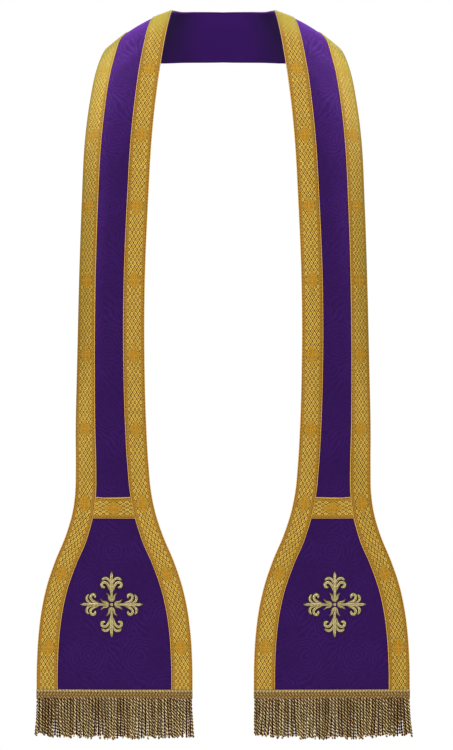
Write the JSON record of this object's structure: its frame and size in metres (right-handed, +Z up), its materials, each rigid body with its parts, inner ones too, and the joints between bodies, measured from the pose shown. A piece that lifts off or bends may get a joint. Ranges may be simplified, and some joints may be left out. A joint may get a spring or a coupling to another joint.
{
  "type": "roman stole, worn shape",
  "caption": "Roman stole in its worn shape: a narrow purple band with gold galloon edges, spade ends, an embroidered cross on each spade and a gold bullion fringe.",
  "frame": {"origin": "middle of the neck, level with the inner edge of the band where it tops the shoulders", "axes": "+Z up, -Y to the front, +X to the right as seen from the front; the two halves mirror each other in X"},
  "size_m": [0.5608, 0.3171, 1.1214],
  "materials": {
    "damask": "purple silk damask, tone on tone, on an interlining",
    "satin": "dark purple satin lining",
    "galloon": "woven gold galloon with a diamond lattice and plain borders",
    "gold_thread": "padded antique gold embroidery",
    "bullion": "twisted antique gold bullion cord"
  },
  "bodies": {
    "root": {"face_cloth_left": "damask", "face_cloth_right": "damask", "lining_left": "satin", "lining_right": "satin", "inner_galloon_left": "galloon", "inner_galloon_right": "galloon", "outer_galloon_left": "galloon", "outer_galloon_right": "galloon", "spade_galloon_left": "galloon", "spade_galloon_right": "galloon", "cross_band_left": "galloon", "cross_band_right": "galloon", "embroidered_cross_left": "gold_thread", "embroidered_cross_right": "gold_thread", "fringe_left": "bullion", "fringe_right": "bullion"}
  },
  "joints": []
}
